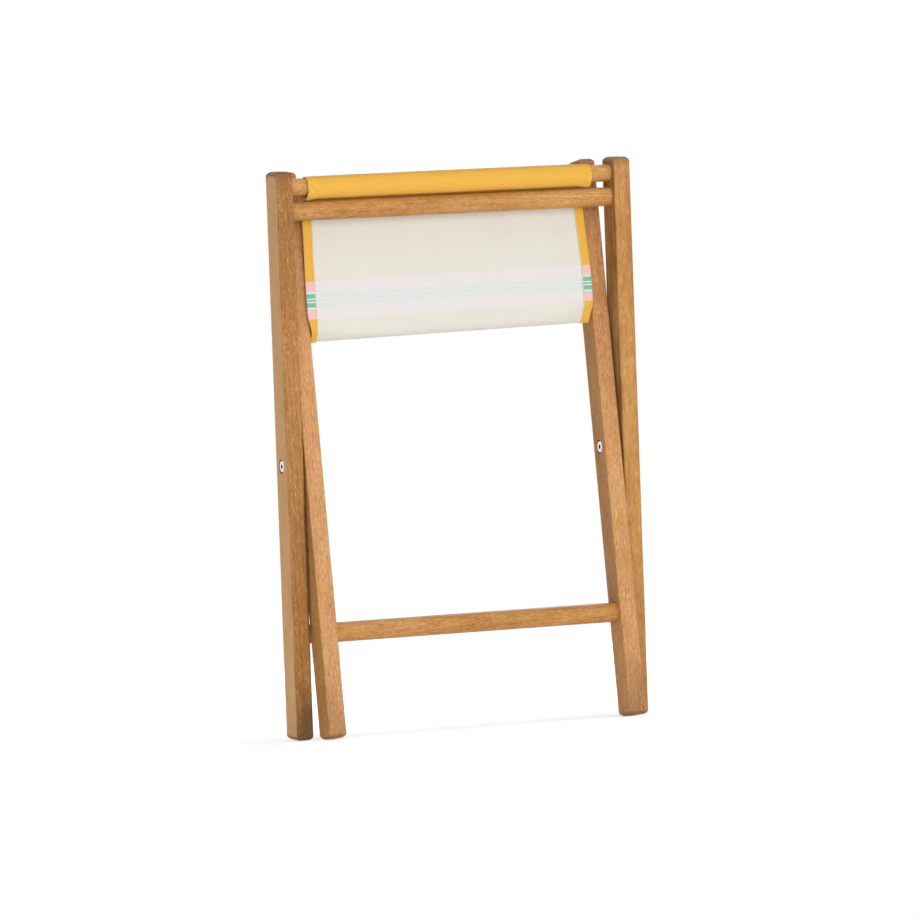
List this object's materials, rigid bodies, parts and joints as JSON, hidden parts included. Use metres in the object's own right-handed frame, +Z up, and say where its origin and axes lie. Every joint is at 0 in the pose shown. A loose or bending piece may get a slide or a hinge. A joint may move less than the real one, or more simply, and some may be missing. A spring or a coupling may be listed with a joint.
{
  "type": "folding stool",
  "caption": "Folding stool with two crossed wooden leg frames on pivot bolts, round rails and a striped cloth sling seat, stored folded flat.",
  "frame": {"origin": "on the floor under the middle of the folded stool", "axes": "+X across the stool, +Y towards the inner frame's top rail, +Z up"},
  "size_m": [0.4, 0.075, 0.5917],
  "materials": {
    "hardwood": "oiled golden-brown hardwood, straight grain, satin",
    "nickel_steel": "bright plated steel",
    "canvas": "woven cotton canvas, yellow with pink, white and green stripes, pale underside"
  },
  "bodies": {
    "pivot": {"pivot_screw_left": "nickel_steel", "pivot_screw_right": "nickel_steel", "pivot_sleeve_nut_left": "nickel_steel", "pivot_sleeve_nut_right": "nickel_steel", "pivot_washer_left": "nickel_steel", "pivot_washer_right": "nickel_steel"},
    "outer_frame": {"outer_leg_left": "hardwood", "outer_leg_right": "hardwood", "outer_top_rail": "hardwood", "outer_second_rail": "hardwood", "outer_bottom_rail": "hardwood"},
    "inner_frame": {"inner_leg_left": "hardwood", "inner_leg_right": "hardwood", "inner_top_rail": "hardwood", "inner_bottom_rail": "hardwood"},
    "seat_front": {"seat_sleeve_front": "canvas", "seat_panel_front": "canvas"},
    "seat_middle_front": {"seat_fold_front": "canvas"},
    "seat_back": {"seat_sleeve_back": "canvas", "seat_panel_back": "canvas"},
    "seat_middle_back": {"seat_fold_back": "canvas"}
  },
  "joints": [
    {"name": "fold", "type": "hinge", "parent": "pivot", "child": "outer_frame", "pos_m": [0, 0, 0.28591], "axis": [1, 0, 0], "range_deg": [0, 30.29]},
    {"name": "inner_fold", "type": "hinge", "parent": "pivot", "child": "inner_frame", "pos_m": [0, 0, 0.28591], "axis": [1, 0, 0], "range_deg": [-30.29, 0]},
    {"name": "seat_front_turn", "type": "hinge", "parent": "outer_frame", "child": "seat_front", "pos_m": [0, -0.02124, 0.57412], "axis": [1, 0, 0], "range_deg": [0, 49.72]},
    {"name": "seat_front_bend", "type": "hinge", "parent": "seat_front", "child": "seat_middle_front", "pos_m": [0, -0.00671, 0.41728], "axis": [1, 0, 0], "range_deg": [-80, 0], "deforming": ["seat_fold_front"]},
    {"name": "seat_back_turn", "type": "hinge", "parent": "inner_frame", "child": "seat_back", "pos_m": [0, 0.02124, 0.57412], "axis": [1, 0, 0], "range_deg": [-49.72, 0]},
    {"name": "seat_back_bend", "type": "hinge", "parent": "seat_back", "child": "seat_middle_back", "pos_m": [0, 0.00671, 0.41728], "axis": [1, 0, 0], "range_deg": [0, 80], "deforming": ["seat_fold_back"]}
  ],
  "couplings": [
    {"joint": "inner_fold", "follows": "fold", "ratio": -1},
    {"joint": "seat_front_turn", "follows": "fold", "ratio": 1.6416},
    {"joint": "seat_front_bend", "follows": "fold", "ratio": -2.6416},
    {"joint": "seat_back_turn", "follows": "fold", "ratio": -1.6416},
    {"joint": "seat_back_bend", "follows": "fold", "ratio": 2.6416}
  ]
}
